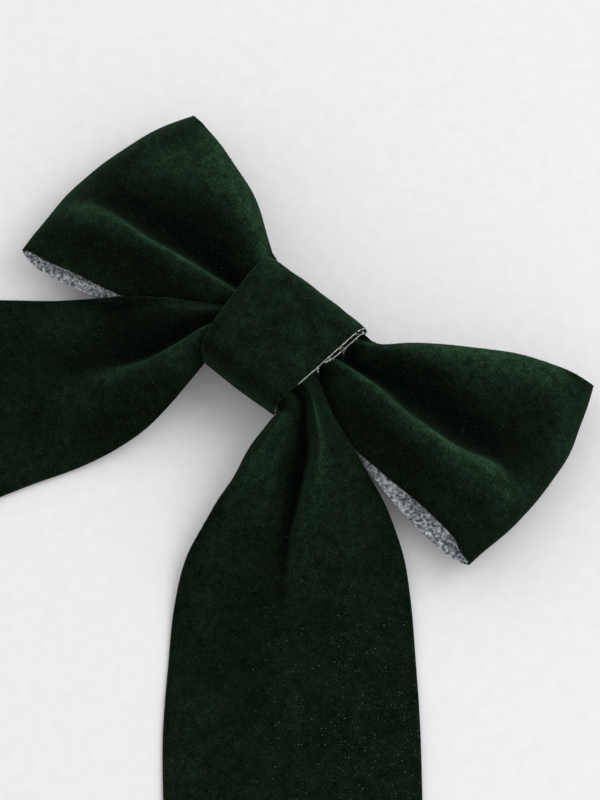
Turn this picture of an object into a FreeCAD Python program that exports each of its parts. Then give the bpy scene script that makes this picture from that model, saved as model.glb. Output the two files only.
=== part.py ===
"""Hair bow on a spring barrette: gathered ribbon loops, two long tails, a wrapped knot, and the metal clip.

Millimetres, +Z up. The bow lies on its back: +Z leaves its front face, +X runs along the loops to the
right-hand loop, -Y runs towards the tails. The origin is the centre of the barrette's hair gap, so the
barrette's strips lie above and below it and the knot stands over it.
"""

import math
import os

import FreeCAD
import Part

Vec = FreeCAD.Vector

# Ribbon: velvet fused to a thin non-woven interfacing.
VELVET = 0.8
INTERFACING = 0.4
CLOTH = VELVET + INTERFACING
RIBBON_WIDTH = 70.0

# Resting plane: the tips of the catch prongs and the flat part of the tails touch it.
FLOOR_Z = -7.4

# Barrette base: a strip bent to an arc that is high in the middle.
BASE_RADIUS = 130.0
BASE_WIDTH = 9.0
BASE_THICKNESS = 0.8
BASE_UNDER_Z = 5.5
BASE_LEFT_X = -41.0
BASE_RIGHT_X = 40.0

# Hinge at the left end.
HINGE_X = -38.5
HINGE_Z = -4.6
PIN_RADIUS = 0.6
PIN_RUNNING_CLEARANCE = 0.03
PIN_HEAD_RADIUS = 1.0
PIN_HEAD_LENGTH = 0.4
EAR_INNER_Y = 3.6
EAR_THICKNESS = 0.6
EAR_RADIUS = 1.6

# Clasp arm: a narrower strip with a rolled knuckle, a stiffening rib and a windowed end.
ARM_RADIUS = 266.0
ARM_TOP_Z = -2.9
ARM_THICKNESS = 0.8
ARM_WIDTH = 6.0
KNUCKLE_RADIUS = 1.45
RIB_WIDTH = 1.8
RIB_DEPTH = 0.35
RIB_END_X = 27.0
PADDLE_START_X = 31.0
PADDLE_END_X = 41.5
PADDLE_WIDTH = 8.4
PADDLE_LAP = 1.0
WINDOW_START_X = 34.2
WINDOW_END_X = 38.6
WINDOW_HALF_Y = 2.3

# Tension leaf: a thin flatter strip under the base, its ends held by two straps of the base.
LEAF_RADIUS = 285.0
LEAF_TOP_Z = 2.85
LEAF_THICKNESS = 0.35
LEAF_WIDTH = 4.0
LEAF_LEFT_X = -33.5
LEAF_RIGHT_X = 32.2
STRAP_XS = (-31.0, 29.7)
STRAP_LENGTH = 1.6
STRAP_GAP = 0.06
STRAP_THICKNESS = 0.45
STRAP_SLOPE_ROOM = 0.12

# Catch: a plate riveted under the base with two springy prongs.
CATCH_START_X = 33.2
CATCH_END_X = 39.6
CATCH_THICKNESS = 0.5
CATCH_WIDTH = 6.0
PRONG_X = 36.4
PRONG_LENGTH = 2.8
PRONG_INNER_Y = 1.5
PRONG_THICKNESS = 0.5
PRONG_ROOT_GAP = 0.08
PRONG_TIP_INSET = 0.15
BARB_REACH = 0.25
BARB_TOP_Z = -6.55
RIVET_RADIUS = 0.8
RIVET_HEAD_RADIUS = 1.3
RIVET_HEAD_LENGTH = 0.35
RIVET_HEAD_ROOM = 0.42

# Knot: the gathered bundles and the wrap around them and the base.
WRAP_HALF_X = 16.5
BUNDLE_HALF_X = 15.0
BUNDLE_HALF_Y = 15.6
BUNDLE_BOTTOM_Z = 6.9
BUNDLE_TOP_Z = 17.4
BUNDLE_SHOULDER_RADIUS = 4.0
BUNDLE_FOOT_RADIUS = 1.5
LOOP_BUNDLE_LOW_Y = -1.7
TAIL_BUNDLE_HIGH_Y = -2.1
THREAD_RADIUS = 0.25
THREAD_TURNS = 5
THREAD_PITCH = 0.7
WRAP_LOW_Z = 4.35
WRAP_FOOT_HALF_Y = 5.0
WRAP_WAIST_DROP = 0.6
CAVITY_GAP = 0.05

# Stitches: the seam of the loop ribbon, the tacks between tails and loops, and the seam of the wrap.
STITCH_RADIUS = 0.2
SEAM_STITCH_COUNT = 8
SEAM_STITCH_PITCH = 2.0
SEAM_STITCH_LENGTH = 1.2
SEAM_X = 7.0
SEAM_EDGE_MARGIN = 0.6
TACK_XS = (-13.0, -11.2, -9.4, -7.6, -5.8, 4.2, 9.4, 11.2, 13.0)
TACK_LENGTH = 1.8
TACK_SLANT = 0.5
CLOSING_STITCH_COUNT = 9
CLOSING_STITCH_PITCH = 3.0
CLOSING_STITCH_LENGTH = 2.4
CLOSING_STITCH_SLANT = 1.1

# Loops: heights of the ribbon's outer face. The outer fold is curved about a vertical axis.
LOOP_FRONT_Z = 14.7
LOOP_BACK_Z = 8.7
FOLD_RADIUS = 5.5
FOLD_Z = 4.5
CROWN_FROM_PINCH = 26.0
CROWN_Z = 18.6
BACK_DIP_Z = 2.4
ROOT_REACH = 18.0
PLANFORM_OVERRUN = (40.0, 6.0)
LEFT_LOOP = {
    "side": -1,
    "outer_edge": ((-65.0, 39.7), (-75.2, 9.1), (-75.0, -23.3)),
    "upper_edge": ((-15.0, 13.2), (-41.2, 32.2)),
    "lower_knee": (-46.7, -16.4),
}
RIGHT_LOOP = {
    "side": 1,
    "outer_edge": ((75.2, 46.8), (84.3, 15.0), (82.2, -17.8)),
    "upper_edge": ((15.0, 13.0), (46.0, 32.5)),
    "lower_knee": (40.3, -11.2),
}

# Tails: each one leaves the knot, drops to the resting plane and lies flat to a slanted end.
TAIL_TOP_Z = 10.8
TAIL_ROOT_Y = -9.0
TAIL_MIDDLE_GAP = 0.3
TAIL_PLAN_LOW_Y = -15.4
TAIL_LOWER_EDGE_X = 17.6
TAIL_DROP_START = 3.0
TAIL_DROP_END = 58.0
TAIL_LENGTH = 190.0
TAIL_END_SLANT = 24.0
TAIL_OVERRUN = 10.0
LEFT_TAIL = {
    "side": -1,
    "angle": 45.0,
    "full_width_from": (-90.0, -47.0),
    "upper_mid": (-47.1, -17.2),
    "lower_mid": (-20.2, -50.7),
}
RIGHT_TAIL = {
    "side": 1,
    "angle": 40.0,
    "full_width_from": (98.0, -60.0),
    "upper_mid": (55.0, -19.0),
    "lower_mid": (17.0, -61.0),
}

# Longer than anything in the bow, for blocks and holes that pass right through it.
BIG = 300.0


def face_of(edges):
    """A planar face inside a closed chain of edges."""
    return Part.Face(Part.Wire(Part.__sortEdges__(edges)))


def polygon_face(points):
    """A planar face inside a closed polygon."""
    return Part.Face(Part.makePolygon(list(points) + [points[0]]))


def line(a, b):
    return Part.LineSegment(a, b).toShape()


def arc(a, b, c):
    """An arc from a through b to c."""
    return Part.Arc(a, b, c).toShape()


def box(low, high):
    size = [h - l for l, h in zip(low, high)]
    return Part.makeBox(*size, Vec(*low))


def write(shape, node):
    """Writes one sub-part, after making sure that it is sound."""
    shape = shape.removeSplitter()
    if not shape.isValid() or shape.Volume <= 0 or not shape.Solids:
        raise ValueError(f"{node} is not a sound solid")
    shape.exportStep(f"parts/{node}.step")
    print(f"{node:24s} solids {len(shape.Solids)}  volume {shape.Volume:9.2f} mm3")


# ---------------------------------------------------------------- barrette

def arc_drop(x, radius):
    """How far a strip bent to that radius has dropped at x."""
    return radius - math.sqrt(radius**2 - x**2)


def bent_strip(x_low, x_high, top_z, thickness, radius, width):
    """A strip of constant thickness, bent about Y so that it is highest at x = 0."""

    def at(x, depth):
        angle = math.asin(x / radius)
        r = radius - depth
        return Vec(r * math.sin(angle), 0, top_z - radius + r * math.cos(angle))

    middle = (x_low + x_high) / 2
    upper = arc(at(x_low, 0), at(middle, 0), at(x_high, 0))
    lower = arc(at(x_low, thickness), at(middle, thickness), at(x_high, thickness))
    ends = [line(at(x, 0), at(x, thickness)) for x in (x_low, x_high)]
    face = face_of([upper, lower, *ends])
    face.translate(Vec(0, -width / 2, 0))
    return face.extrude(Vec(0, width, 0))


def base_under(x):
    """Height of the base's underside at x."""
    return BASE_UNDER_Z - arc_drop(x, BASE_RADIUS - BASE_THICKNESS)


def y_rod(x, z, radius, y_low, y_high):
    return Part.makeCylinder(radius, y_high - y_low, Vec(x, y_low, z), Vec(0, 1, 0))


def hinge_ear(side):
    """One ear of the base: a tab folded down beside the knuckle, round about the pin."""
    inner = EAR_INNER_Y if side > 0 else -EAR_INNER_Y - EAR_THICKNESS
    foot = y_rod(HINGE_X, HINGE_Z, EAR_RADIUS, inner, inner + EAR_THICKNESS)
    top = base_under(HINGE_X) + BASE_THICKNESS / 2
    web = box(
        (HINGE_X - EAR_RADIUS, inner, HINGE_Z),
        (HINGE_X + EAR_RADIUS, inner + EAR_THICKNESS, top),
    )
    return foot.fuse(web)


def leaf_strap(x):
    """A bridge punched down out of the base, which the leaf's end slides through."""
    half = LEAF_WIDTH / 2 + STRAP_GAP
    leaf_under = LEAF_TOP_Z - LEAF_THICKNESS - arc_drop(x, LEAF_RADIUS)
    low = leaf_under - STRAP_SLOPE_ROOM - STRAP_THICKNESS
    outer = box(
        (x - STRAP_LENGTH / 2, -half - STRAP_THICKNESS, low),
        (x + STRAP_LENGTH / 2, half + STRAP_THICKNESS, base_under(x) + BASE_THICKNESS / 2),
    )
    passage = box((x - STRAP_LENGTH, -half, low + STRAP_THICKNESS), (x + STRAP_LENGTH, half, BIG))
    return outer.cut(passage)


def barrette_base():
    top_z = BASE_UNDER_Z + BASE_THICKNESS
    strip = bent_strip(BASE_LEFT_X, BASE_RIGHT_X, top_z, BASE_THICKNESS, BASE_RADIUS, BASE_WIDTH)
    body = strip.fuse([hinge_ear(1), hinge_ear(-1), *(leaf_strap(x) for x in STRAP_XS)])
    pin_hole = y_rod(HINGE_X, HINGE_Z, PIN_RADIUS, -BIG, BIG)
    rivet_hole = Part.makeCylinder(RIVET_RADIUS, BIG, Vec(PRONG_X, 0, -BIG / 2))
    return body.cut([pin_hole, rivet_hole])


def hinge_pin():
    outer_y = EAR_INNER_Y + EAR_THICKNESS
    shaft = y_rod(HINGE_X, HINGE_Z, PIN_RADIUS, -outer_y, outer_y)
    heads = [
        y_rod(HINGE_X, HINGE_Z, PIN_HEAD_RADIUS, low, low + PIN_HEAD_LENGTH)
        for low in (-outer_y - PIN_HEAD_LENGTH, outer_y)
    ]
    return shaft.fuse(heads)


def clasp_arm():
    """The swinging strip, from its knuckle on the pin to the window that the prongs pass through."""
    narrow_end = PADDLE_START_X + PADDLE_LAP
    strip = bent_strip(HINGE_X, narrow_end, ARM_TOP_Z, ARM_THICKNESS, ARM_RADIUS, ARM_WIDTH)
    paddle = bent_strip(
        PADDLE_START_X, PADDLE_END_X, ARM_TOP_Z, ARM_THICKNESS, ARM_RADIUS, PADDLE_WIDTH
    )
    rib_radius = ARM_RADIUS - ARM_THICKNESS
    rib = bent_strip(
        -RIB_END_X, RIB_END_X, ARM_TOP_Z - ARM_THICKNESS, RIB_DEPTH, rib_radius, RIB_WIDTH
    )
    half = ARM_WIDTH / 2
    knuckle = y_rod(HINGE_X, HINGE_Z, KNUCKLE_RADIUS, -half, half)
    bore = y_rod(HINGE_X, HINGE_Z, PIN_RADIUS + PIN_RUNNING_CLEARANCE, -BIG, BIG)
    window = box(
        (WINDOW_START_X, -WINDOW_HALF_Y, -BIG),
        (WINDOW_END_X, WINDOW_HALF_Y, ARM_TOP_Z + ARM_THICKNESS),
    )
    return strip.fuse([paddle, rib, knuckle]).cut([bore, window])


def tension_leaf():
    return bent_strip(
        LEAF_LEFT_X, LEAF_RIGHT_X, LEAF_TOP_Z, LEAF_THICKNESS, LEAF_RADIUS, LEAF_WIDTH
    )


def catch_plate():
    """The catch's plate, bent like the base that it is riveted under."""
    radius = BASE_RADIUS - BASE_THICKNESS
    plate = bent_strip(
        CATCH_START_X, CATCH_END_X, BASE_UNDER_Z, CATCH_THICKNESS, radius, CATCH_WIDTH
    )
    rivet_hole = Part.makeCylinder(RIVET_RADIUS, BIG, Vec(PRONG_X, 0, -BIG / 2))
    return plate.cut(rivet_hole)


def catch_prong(side):
    """One upright prong: a flat blade, just clear of the plate, that ends in a sloping outer barb."""
    inner, outer = PRONG_INNER_Y, PRONG_INNER_Y + PRONG_THICKNESS
    tip_y = inner + PRONG_TIP_INSET
    profile = [(inner, BASE_UNDER_Z), (outer, BASE_UNDER_Z), (outer, BARB_TOP_Z)]
    profile += [(outer + BARB_REACH, BARB_TOP_Z), (tip_y, FLOOR_Z), (inner, FLOOR_Z)]
    points = [Vec(PRONG_X - PRONG_LENGTH / 2, side * y, z) for y, z in profile]
    blade = polygon_face(points).extrude(Vec(PRONG_LENGTH, 0, 0))
    under_radius = BASE_RADIUS - BASE_THICKNESS
    below_plate = y_rod(
        0, BASE_UNDER_Z - under_radius, under_radius - CATCH_THICKNESS - PRONG_ROOT_GAP, -BIG, BIG
    )
    return blade.common(below_plate)


def catch_rivet():
    """The rivet through base and plate, with a low head on each side."""
    top = base_under(PRONG_X) + BASE_THICKNESS + RIVET_HEAD_ROOM
    bottom = base_under(PRONG_X) - CATCH_THICKNESS - RIVET_HEAD_ROOM
    shank = Part.makeCylinder(RIVET_RADIUS, top - bottom, Vec(PRONG_X, 0, bottom))
    head_zs = (top, bottom - RIVET_HEAD_LENGTH)
    heads = [
        Part.makeCylinder(RIVET_HEAD_RADIUS, RIVET_HEAD_LENGTH, Vec(PRONG_X, 0, z)) for z in head_zs
    ]
    return shank.fuse(heads)


# ---------------------------------------------------------------- knot

def at_yz(y, z):
    return Vec(0, y, z)


def shoulder_edges(half_y, top, radius, low):
    """The top and both sides of a block with rounded shoulders, in the plane x = 0."""
    inset, height = half_y - radius, top - radius
    diagonal = radius * math.sqrt(0.5)
    edges = [line(at_yz(-inset, top), at_yz(inset, top))]
    for s in (1, -1):
        corner_mid = at_yz(s * (inset + diagonal), height + diagonal)
        edges += [
            arc(at_yz(s * half_y, height), corner_mid, at_yz(s * inset, top)),
            line(at_yz(s * half_y, height), at_yz(s * half_y, low)),
        ]
    return edges


def bundle_outline(grow):
    """The outline of the gathered cloth in the knot, grown outwards."""
    half_y, low = BUNDLE_HALF_Y + grow, BUNDLE_BOTTOM_Z - grow
    radius = BUNDLE_FOOT_RADIUS + grow
    inset, height = half_y - radius, low + radius
    diagonal = radius * math.sqrt(0.5)
    edges = shoulder_edges(half_y, BUNDLE_TOP_Z + grow, BUNDLE_SHOULDER_RADIUS + grow, height)
    edges += [line(at_yz(-inset, low), at_yz(inset, low))]
    for s in (1, -1):
        corner_mid = at_yz(s * (inset + diagonal), height - diagonal)
        edges += [arc(at_yz(s * half_y, height), corner_mid, at_yz(s * inset, low))]
    return Part.Wire(Part.__sortEdges__(edges))


def bundle_block():
    """All the gathered cloth in the knot, as one block along X."""
    block = Part.Face(bundle_outline(0)).extrude(Vec(2 * BUNDLE_HALF_X, 0, 0))
    block.translate(Vec(-BUNDLE_HALF_X, 0, 0))
    return block


def cavity_half_y():
    """Half the width of the space inside the wrap, with room for the thread."""
    return BUNDLE_HALF_Y + 2 * THREAD_RADIUS + CAVITY_GAP


def knot_ring_face(grow):
    """What the wrap goes around, in the plane x = 0: the bundle, and the base under it."""
    room = 2 * THREAD_RADIUS + CAVITY_GAP
    half_y, waist = cavity_half_y(), BUNDLE_BOTTOM_Z - WRAP_WAIST_DROP
    edges = shoulder_edges(half_y, BUNDLE_TOP_Z + room, BUNDLE_SHOULDER_RADIUS + room, waist)
    foot = WRAP_FOOT_HALF_Y
    edges += [line(at_yz(s * half_y, waist), at_yz(s * foot, WRAP_LOW_Z)) for s in (1, -1)]
    edges += [line(at_yz(-foot, WRAP_LOW_Z), at_yz(foot, WRAP_LOW_Z))]
    wire = Part.Wire(Part.__sortEdges__(edges))
    return Part.Face(wire.makeOffset2D(grow) if grow else wire)


def knot_ring(inner_grow, outer_grow):
    """A closed band of cloth around the knot, as wide as the wrap strip."""
    ring = knot_ring_face(outer_grow).cut(knot_ring_face(inner_grow))
    ring.translate(Vec(-WRAP_HALF_X, 0, 0))
    return ring.extrude(Vec(2 * WRAP_HALF_X, 0, 0))


def gathering_thread():
    """Turns of thread drawn tight around the gathered ribbons."""
    turns = []
    for i in range(THREAD_TURNS):
        path = bundle_outline(THREAD_RADIUS)
        path.translate(Vec((i - (THREAD_TURNS - 1) / 2) * THREAD_PITCH, 0, 0))
        edge = path.Edges[0]
        start = edge.valueAt(edge.FirstParameter)
        outline = Part.Wire(Part.makeCircle(THREAD_RADIUS, start, edge.tangentAt(edge.FirstParameter)))
        turns.append(path.makePipeShell([outline], True, False))
    return Part.makeCompound(turns)


def stitch(start, reach):
    """A short straight stitch with round ends."""
    rod = Part.makeCylinder(STITCH_RADIUS, reach.Length, start, reach)
    ends = [Part.makeSphere(STITCH_RADIUS, p) for p in (start, start + reach)]
    return rod.fuse(ends)


def loop_seam_stitches():
    """The row of stitches that joins the loop ribbon's ends, on the back of its bundle."""
    z = BUNDLE_BOTTOM_Z - STITCH_RADIUS
    low_y = LOOP_BUNDLE_LOW_Y + SEAM_EDGE_MARGIN
    reach = Vec(0, SEAM_STITCH_LENGTH, 0)
    starts = [Vec(SEAM_X, low_y + i * SEAM_STITCH_PITCH, z) for i in range(SEAM_STITCH_COUNT)]
    return Part.makeCompound([stitch(p, reach) for p in starts])


def tail_tack_stitches():
    """Short stitches across the line where the tails' bundle is tacked to the loops' bundle."""
    z = BUNDLE_BOTTOM_Z - STITCH_RADIUS
    middle_y = (LOOP_BUNDLE_LOW_Y + TAIL_BUNDLE_HIGH_Y) / 2
    low_y = middle_y - TACK_LENGTH / 2
    reach = Vec(TACK_SLANT, TACK_LENGTH, 0)
    return Part.makeCompound([stitch(Vec(x, low_y, z), reach) for x in TACK_XS])


def wrap_closing_stitches():
    """Slanting stitches that close the wrap's seam on its sloping underside."""
    foot = Vec(0, -WRAP_FOOT_HALF_Y, WRAP_LOW_Z)
    waist = Vec(0, -cavity_half_y(), BUNDLE_BOTTOM_Z - WRAP_WAIST_DROP)
    along = (waist - foot).normalize()
    outwards = Vec(0, -along.z, along.y)
    seam = (foot + waist) * 0.5 + outwards * (CLOTH + STITCH_RADIUS + CAVITY_GAP)
    reach = along * CLOSING_STITCH_LENGTH + Vec(CLOSING_STITCH_SLANT, 0, 0)
    first = seam - along * (CLOSING_STITCH_LENGTH / 2)
    xs = [(i - CLOSING_STITCH_COUNT / 2) * CLOSING_STITCH_PITCH for i in range(CLOSING_STITCH_COUNT)]
    return Part.makeCompound([stitch(first + Vec(x, 0, 0), reach) for x in xs])


# ---------------------------------------------------------------- loops

def fold_circle(loop):
    """Centre and radius of the circle that the loop's outer fold follows, seen from the front."""
    points = [Vec(x, y, 0) for x, y in loop["outer_edge"]]
    circle = arc(*points).Curve
    return circle.Center, circle.Radius


def pinch_radius(loop):
    """Distance from that circle's centre to the far corner of the bundle's end."""
    centre, _ = fold_circle(loop)
    x = loop["side"] * BUNDLE_HALF_X
    return max((Vec(x, y, 0) - centre).Length for y in (LOOP_BUNDLE_LOW_Y, BUNDLE_HALF_Y))


def loop_section(pinch, reach, depth):
    """Section of the loop at that depth inside its outer face, drawn outwards in the XZ plane."""

    def at(r, z):
        return Vec(r, 0, z)

    start, fold, crown = pinch - ROOT_REACH, reach - FOLD_RADIUS, pinch + CROWN_FROM_PINCH
    front_z, back_z = LOOP_FRONT_Z - depth, LOOP_BACK_Z + depth
    bend = FOLD_RADIUS - depth
    fold_front, fold_back = at(fold, FOLD_Z + bend), at(fold, FOLD_Z - bend)
    edges = [
        line(at(start, front_z), at(pinch, front_z)),
        arc(at(pinch, front_z), at(crown, CROWN_Z - depth), fold_front),
        arc(fold_front, at(fold + bend, FOLD_Z), fold_back),
        arc(fold_back, at(crown, BACK_DIP_Z + depth), at(pinch, back_z)),
        line(at(pinch, back_z), at(start, back_z)),
        line(at(start, back_z), at(start, front_z)),
    ]
    return Part.Wire(Part.__sortEdges__(edges))


def loop_layer(loop, depth_out, depth_in):
    """One layer of one loop, between two depths inside the ribbon's outer face."""
    centre, reach = fold_circle(loop)
    pinch = pinch_radius(loop)
    planform = loop_planform(loop)

    def inside(depth):
        face = Part.Face(loop_section(pinch, reach, depth))
        face.rotate(Vec(0, 0, 0), Vec(0, 0, 1), -90 * loop["side"])
        turned = face.revolve(Vec(0, 0, 0), Vec(0, 0, 1), 180)
        turned.translate(centre)
        return turned.common(planform)

    return inside(depth_out).cut(inside(depth_in)).Solids


def loop_planform(loop):
    """The loop's outline seen from the front, as a tall block that reaches past its outer fold."""
    side = loop["side"]
    floor = -BIG

    def at(point):
        return Vec(*point, floor)

    high_root, upper_mid = (at(p) for p in loop["upper_edge"])
    low_root = at((side * BUNDLE_HALF_X, LOOP_BUNDLE_LOW_Y))
    high, _, low = (at(p) for p in loop["outer_edge"])
    knee = at(loop["lower_knee"])
    past_high = high + Vec(side * PLANFORM_OVERRUN[0], PLANFORM_OVERRUN[1], 0)
    past_low = low + (low - knee)
    edges = [
        arc(high_root, upper_mid, high),
        line(high, past_high),
        line(past_high, past_low),
        line(past_low, knee),
        line(knee, low_root),
        line(low_root, high_root),
    ]
    return face_of(edges).extrude(Vec(0, 0, 2 * BIG))


def loop_bundle(z_low, z_high):
    """Where the ribbon is gathered inside the knot, between two heights."""
    part = box((-BUNDLE_HALF_X, LOOP_BUNDLE_LOW_Y, z_low), (BUNDLE_HALF_X, BUNDLE_HALF_Y, z_high))
    return part.common(bundle_block())


def loop_velvet():
    pieces = [loop_bundle(BUNDLE_BOTTOM_Z, LOOP_BACK_Z + VELVET)]
    pieces += [loop_bundle(LOOP_FRONT_Z - VELVET, BUNDLE_TOP_Z)]
    for loop in (LEFT_LOOP, RIGHT_LOOP):
        pieces += loop_layer(loop, 0, VELVET)
    return pieces[0].fuse(pieces[1:])


def loop_interfacing():
    pieces = [loop_bundle(LOOP_BACK_Z + VELVET, LOOP_FRONT_Z - VELVET)]
    for loop in (LEFT_LOOP, RIGHT_LOOP):
        pieces += loop_layer(loop, VELVET, CLOTH)
    return pieces[0].fuse(pieces[1:])


# ---------------------------------------------------------------- tails

def tail_frame(tail):
    """The tail's root, the direction it runs in and the direction across it, away from the other."""
    side = tail["side"]
    angle = math.radians(tail["angle"])
    root = Vec(side * BUNDLE_HALF_X, TAIL_ROOT_Y, 0)
    along = Vec(side * math.sin(angle), -math.cos(angle), 0)
    across = Vec(side * math.cos(angle), math.sin(angle), 0)
    return root, along, across


def tail_planform(tail):
    """The tail's outline seen from the front, as a tall block with a slanted end."""
    root, along, across = tail_frame(tail)
    floor = Vec(0, 0, -BIG)

    def at(point):
        return Vec(*point, 0) + floor

    root_x, edge_x = tail["side"] * BUNDLE_HALF_X, tail["side"] * TAIL_LOWER_EDGE_X
    lower_y = TAIL_PLAN_LOW_Y
    upper_root, lower_root = at((root_x, TAIL_BUNDLE_HIGH_Y)), at((root_x, lower_y))
    lower_start = at((edge_x, lower_y))
    upper_full = at(tail["full_width_from"])
    lower_full = upper_full - across * RIBBON_WIDTH
    to_end = along * (TAIL_LENGTH - (upper_full - root).dot(along))
    upper_end = upper_full + to_end
    lower_end = lower_full + to_end - along * TAIL_END_SLANT
    edges = [
        line(lower_root, upper_root),
        arc(upper_root, at(tail["upper_mid"]), upper_full),
        line(upper_full, upper_end),
        line(upper_end, lower_end),
        line(lower_end, lower_full),
        arc(lower_full, at(tail["lower_mid"]), lower_start),
        line(lower_start, lower_root),
    ]
    return face_of(edges).extrude(Vec(0, 0, 2 * BIG))


def tail_layer(tail, depth_out, depth_in):
    """One layer of a tail, between two depths below its upper face."""
    root, along, across = tail_frame(tail)
    flat_top = FLOOR_Z + CLOTH
    drop = TAIL_TOP_Z - flat_top
    run = TAIL_DROP_END - TAIL_DROP_START
    bend = (run**2 + drop**2) / (4 * drop)
    turn = 2 * math.atan(drop / run)
    middle = (TAIL_DROP_START + run / 2, TAIL_TOP_Z - drop / 2)

    def curve(depth):
        """The face at that depth: flat, over one arc, under another, then flat again."""
        over, under = bend - depth, bend + depth
        over_z, under_z = TAIL_TOP_Z - bend, flat_top + bend
        half_turn = turn / 2

        def point(s, z):
            return root + along * s + Vec(0, 0, z)

        a = point(-BUNDLE_HALF_X, TAIL_TOP_Z - depth)
        b = point(TAIL_DROP_START, TAIL_TOP_Z - depth)
        b_mid = point(
            TAIL_DROP_START + over * math.sin(half_turn), over_z + over * math.cos(half_turn)
        )
        c = point(
            middle[0] - depth * math.sin(turn), middle[1] - depth * math.cos(turn)
        )
        d_mid = point(
            TAIL_DROP_END - under * math.sin(half_turn), under_z - under * math.cos(half_turn)
        )
        d = point(TAIL_DROP_END, flat_top - depth)
        e = point(TAIL_LENGTH + TAIL_OVERRUN, flat_top - depth)
        return [line(a, b), arc(b, b_mid, c), arc(c, d_mid, d), line(d, e)], a, e

    upper, upper_start, upper_end = curve(depth_out)
    lower, lower_start, lower_end = curve(depth_in)
    face = face_of(upper + lower + [line(upper_start, lower_start), line(upper_end, lower_end)])
    face.translate(across * -BIG)
    return face.extrude(across * (2 * BIG)).common(tail_planform(tail)).Solids[0]


def tail_bundle(side, z_low, z_high):
    """Where the tail is gathered inside the knot, between two heights."""
    xs = sorted((side * TAIL_MIDDLE_GAP, side * BUNDLE_HALF_X))
    part = box((xs[0], -BUNDLE_HALF_Y, z_low), (xs[1], TAIL_BUNDLE_HIGH_Y, z_high))
    return part.common(bundle_block())


def tail_velvet(tail):
    bundle = tail_bundle(tail["side"], TAIL_TOP_Z - VELVET, BUNDLE_TOP_Z)
    return bundle.fuse(tail_layer(tail, 0, VELVET))


def tail_interfacing(tail):
    bundle = tail_bundle(tail["side"], BUNDLE_BOTTOM_Z, TAIL_TOP_Z - VELVET)
    return bundle.fuse(tail_layer(tail, VELVET, CLOTH))


def main():
    os.makedirs("parts", exist_ok=True)
    write(barrette_base(), "barrette_base")
    write(hinge_pin(), "hinge_pin")
    write(clasp_arm(), "clasp_arm")
    write(tension_leaf(), "tension_leaf")
    write(catch_plate(), "catch_plate")
    write(catch_prong(-1), "catch_prong_front")
    write(catch_prong(1), "catch_prong_back")
    write(catch_rivet(), "catch_rivet")
    write(knot_ring(INTERFACING, CLOTH), "knot_wrap_velvet")
    write(knot_ring(0, INTERFACING), "knot_wrap_interfacing")
    write(gathering_thread(), "gathering_thread")
    write(loop_seam_stitches(), "loop_seam_stitches")
    write(tail_tack_stitches(), "tail_tack_stitches")
    write(wrap_closing_stitches(), "wrap_closing_stitches")
    write(loop_velvet(), "loop_velvet")
    write(loop_interfacing(), "loop_interfacing")
    for tail, name in ((LEFT_TAIL, "left_tail"), (RIGHT_TAIL, "right_tail")):
        write(tail_velvet(tail), f"{name}_velvet")
        write(tail_interfacing(tail), f"{name}_interfacing")


main()
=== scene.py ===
"""Dresses the hair bow: velvet loops, tails and knot, their grey backing, the stitching and the barrette.

Cloth is drawn as cuts across the ribbon, in millimetres. A smooth surface is spanned through the cuts, and
the velvet and its backing are built as two thin layers under that surface.
"""

import math
import random

import bmesh
import bpy
import numpy as np
from mathutils import Matrix, Vector
from mathutils.bvhtree import BVHTree

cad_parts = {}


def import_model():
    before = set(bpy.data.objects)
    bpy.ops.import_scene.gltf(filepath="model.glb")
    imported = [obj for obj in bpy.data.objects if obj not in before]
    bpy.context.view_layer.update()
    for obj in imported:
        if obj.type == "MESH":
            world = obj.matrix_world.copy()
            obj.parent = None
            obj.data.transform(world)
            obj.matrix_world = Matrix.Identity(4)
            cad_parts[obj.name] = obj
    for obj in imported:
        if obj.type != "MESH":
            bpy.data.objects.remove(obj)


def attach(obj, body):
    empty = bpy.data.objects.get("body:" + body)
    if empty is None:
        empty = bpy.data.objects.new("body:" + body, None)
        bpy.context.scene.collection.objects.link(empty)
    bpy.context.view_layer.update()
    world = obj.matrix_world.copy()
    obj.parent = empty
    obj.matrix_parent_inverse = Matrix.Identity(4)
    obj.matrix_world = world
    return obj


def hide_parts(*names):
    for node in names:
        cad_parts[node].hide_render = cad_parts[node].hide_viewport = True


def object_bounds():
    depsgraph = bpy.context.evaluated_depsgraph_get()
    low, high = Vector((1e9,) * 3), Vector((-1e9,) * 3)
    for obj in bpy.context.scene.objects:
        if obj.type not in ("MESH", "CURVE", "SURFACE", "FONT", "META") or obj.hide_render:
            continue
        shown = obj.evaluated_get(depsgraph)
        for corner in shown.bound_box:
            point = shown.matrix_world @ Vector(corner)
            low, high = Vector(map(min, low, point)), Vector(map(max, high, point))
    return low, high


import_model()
CAD_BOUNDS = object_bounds()

MM = 0.001

# The cloth, in millimetres: its layers, and how far the backing's long edges stay inside the velvet's.
VELVET = 0.8
BACKING = 0.4
CLOTH = VELVET + BACKING
EDGE_BULGE = 0.3
BACKING_INSET = 0.55
LAYER_DEPTHS = {"velvet": (0, VELVET), "interfacing": (VELVET, CLOTH)}

# Heights of the table, and of the outer surface of cloth that lies flat on it.
FLOOR_Z = CAD_BOUNDS[0][2] / MM
FLAT_Z = FLOOR_Z + CLOTH

# Spacing of the grid that a surface is built on.
GRID_STEP = 1.1
# A ripple is a sum of this many waves, with lengths spread by these shares.
RIPPLE_WAVES = 7
RIPPLE_SPREAD = (0.7, 1.8)

# How a tail settles on the loops: the gap under it, the way it is lifted, which is roughly towards the camera
# so that its outline stays where it is in that view, and a height above all the cloth.
SETTLE_GAP = 0.25
SETTLE_WAY = np.array([0.25, -0.31, 1.0])
SETTLE_FROM_Z = 60
SETTLE_ROUNDS = 40

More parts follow.
